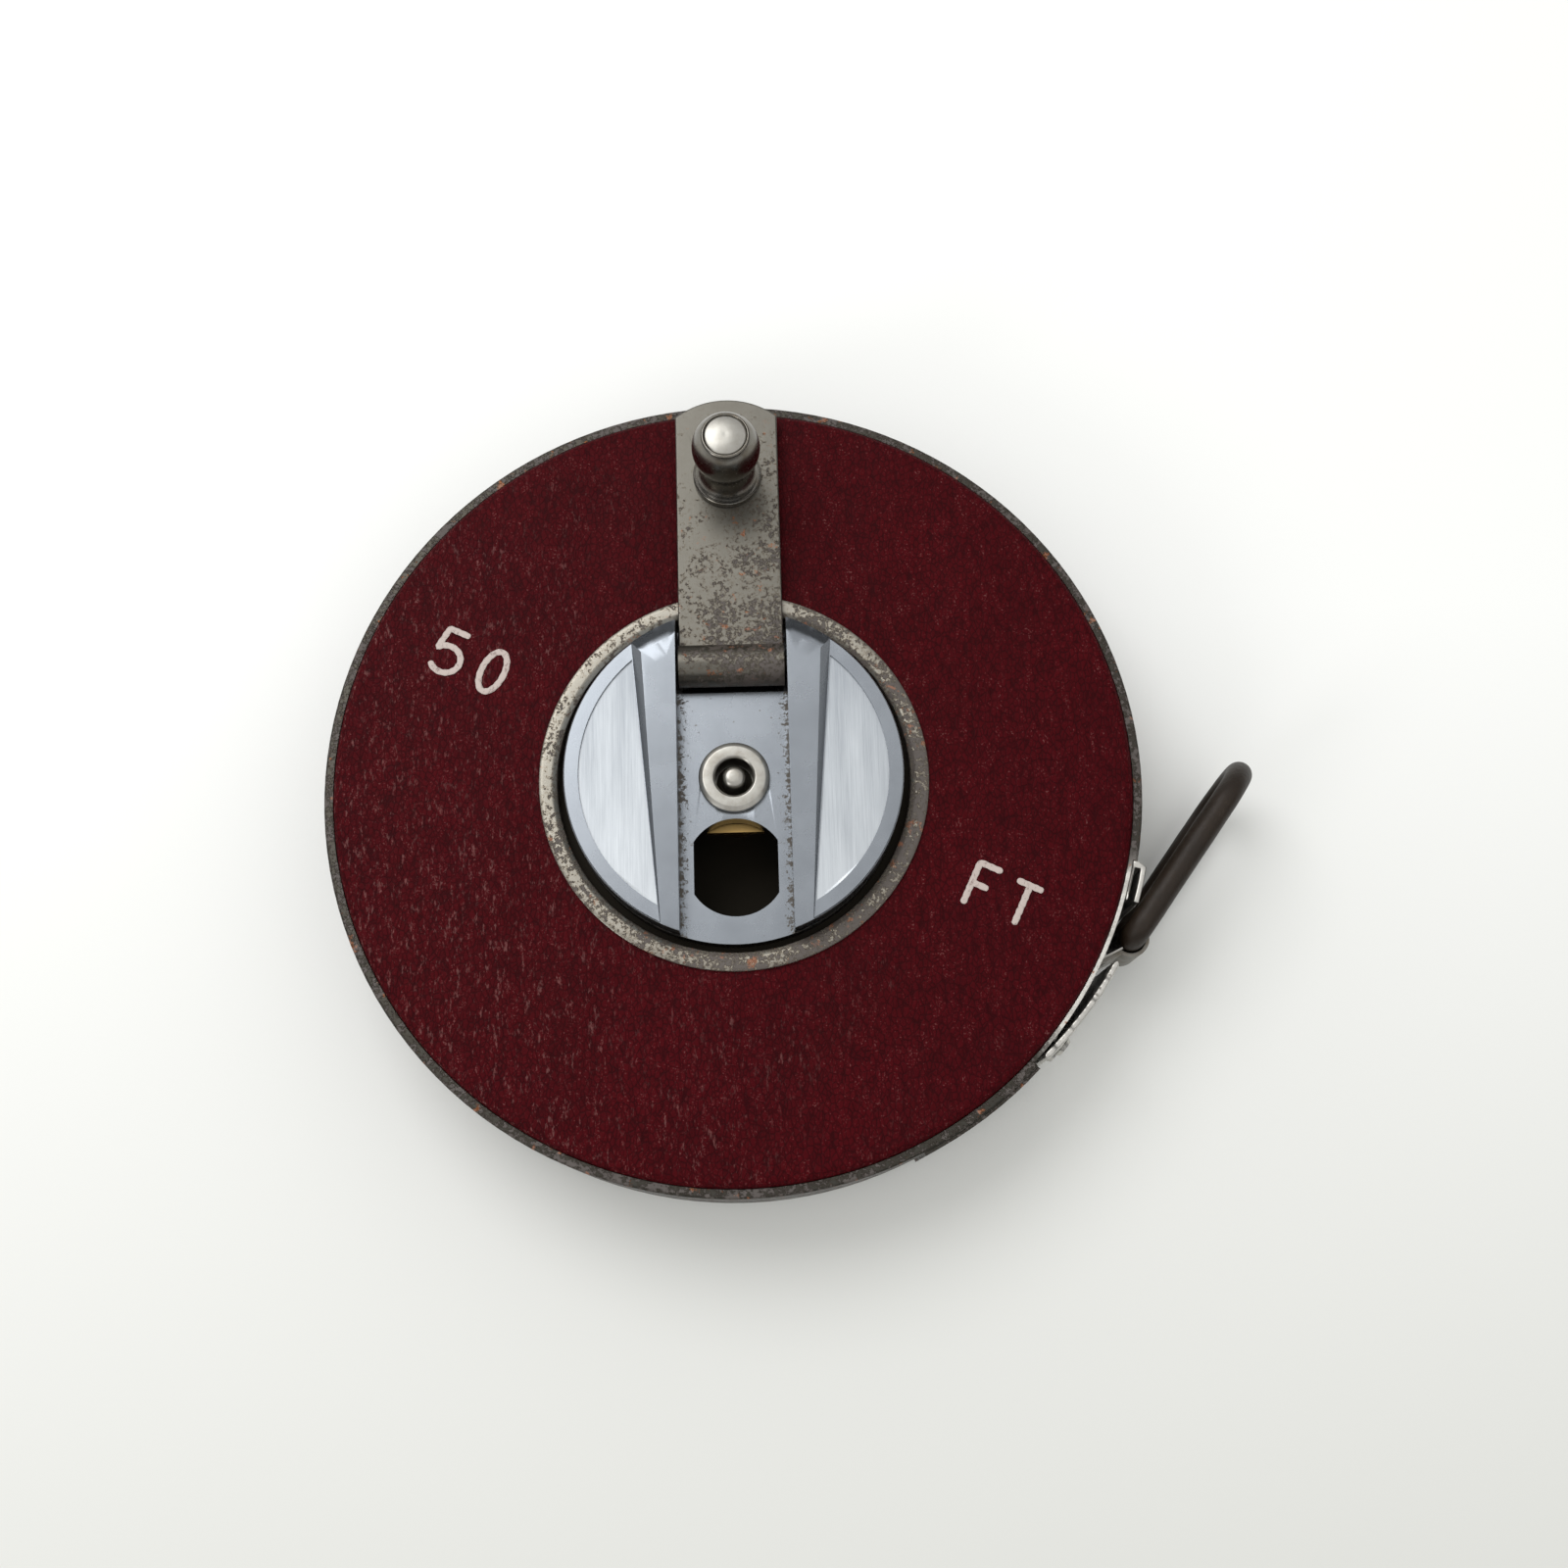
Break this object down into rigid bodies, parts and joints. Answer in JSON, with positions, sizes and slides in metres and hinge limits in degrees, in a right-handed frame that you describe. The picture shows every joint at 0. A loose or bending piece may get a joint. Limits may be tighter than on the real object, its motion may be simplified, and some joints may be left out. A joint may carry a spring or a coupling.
{
  "type": "surveyor tape reel",
  "caption": "Round leather-faced pocket tape reel with a winding disc, a folding crank handle with a turning knob, a metal rim band and a wire end ring.",
  "frame": {"origin": "centre of the back face, on the reel's axis", "axes": "+Z out through the winding disc, +Y along the opened handle, the tape leaves near +X"},
  "size_m": [0.1064, 0.0922, 0.0297],
  "materials": {
    "leather": "grained, dark burgundy",
    "steel": "plain pressed steel",
    "band_nickel": "worn nickel",
    "bezel_nickel": "nickel with brown pitting",
    "cap_steel": "turned steel",
    "mouth_nickel": "rubbed bright",
    "disc_nickel": "bright plating, brushed panels",
    "brass": "turned",
    "tape_steel": "spring steel",
    "handle_nickel": "nickel with brown mottling",
    "knob_steel": "polished, lightly tarnished",
    "clip_steel": "darkened steel",
    "ring_bronze": "dark browned metal"
  },
  "bodies": {
    "case": {"rear_shell": "steel", "front_shell": "steel", "rear_leather": "leather", "front_leather": "leather", "rim_band": "band_nickel", "bezel_ring": "bezel_nickel", "rear_boss_plate": "band_nickel", "axle_tube": "steel", "thrust_washer": "brass", "axle_cap": "cap_steel", "mouth_plate": "mouth_nickel", "mouth_lip": "mouth_nickel", "mouth_rivets": "mouth_nickel"},
    "opener": {"push_pin": "cap_steel", "pin_clip": "steel"},
    "reel": {"winding_disc": "disc_nickel", "drum_front_flange": "steel", "drum_rear_flange": "steel", "drum_hub": "steel", "drum_rivets": "steel", "hub_bush": "brass", "tape_coil": "tape_steel", "tape_anchor": "steel", "hinge_pin": "steel"},
    "handle": {"handle_strap": "handle_nickel", "knob_stud": "knob_steel"},
    "knob": {"knob": "knob_steel"},
    "tape_end": {"tape_lead": "tape_steel", "end_clip": "clip_steel", "clip_rivets": "clip_steel"},
    "ring": {"end_ring": "ring_bronze"}
  },
  "joints": [
    {"name": "reel_spin", "type": "hinge", "parent": "case", "child": "reel", "pos_m": [0, 0, 0], "axis": [0, 0, 1], "continuous": true},
    {"name": "handle_fold", "type": "hinge", "parent": "reel", "child": "handle", "pos_m": [0, 0.0128, 0.018], "axis": [1, 0, 0], "range_deg": [0, 180]},
    {"name": "knob_spin", "type": "hinge", "parent": "handle", "child": "knob", "pos_m": [0, 0.0358, 0.018], "axis": [0, 0, 1], "continuous": true},
    {"name": "opener_push", "type": "slide", "parent": "case", "child": "opener", "axis": [0, 0, -1], "range_m": [-0.002, 0]},
    {"name": "tape_pull", "type": "slide", "parent": "case", "child": "tape_end", "axis": [0.9036, 0.4285, 0], "range_m": [0, 0.02]},
    {"name": "ring_swing", "type": "hinge", "parent": "tape_end", "child": "ring", "pos_m": [0.04414, -0.01864, 0.00855], "axis": [0, 0, 1], "range_deg": [-75, 3]}
  ]
}
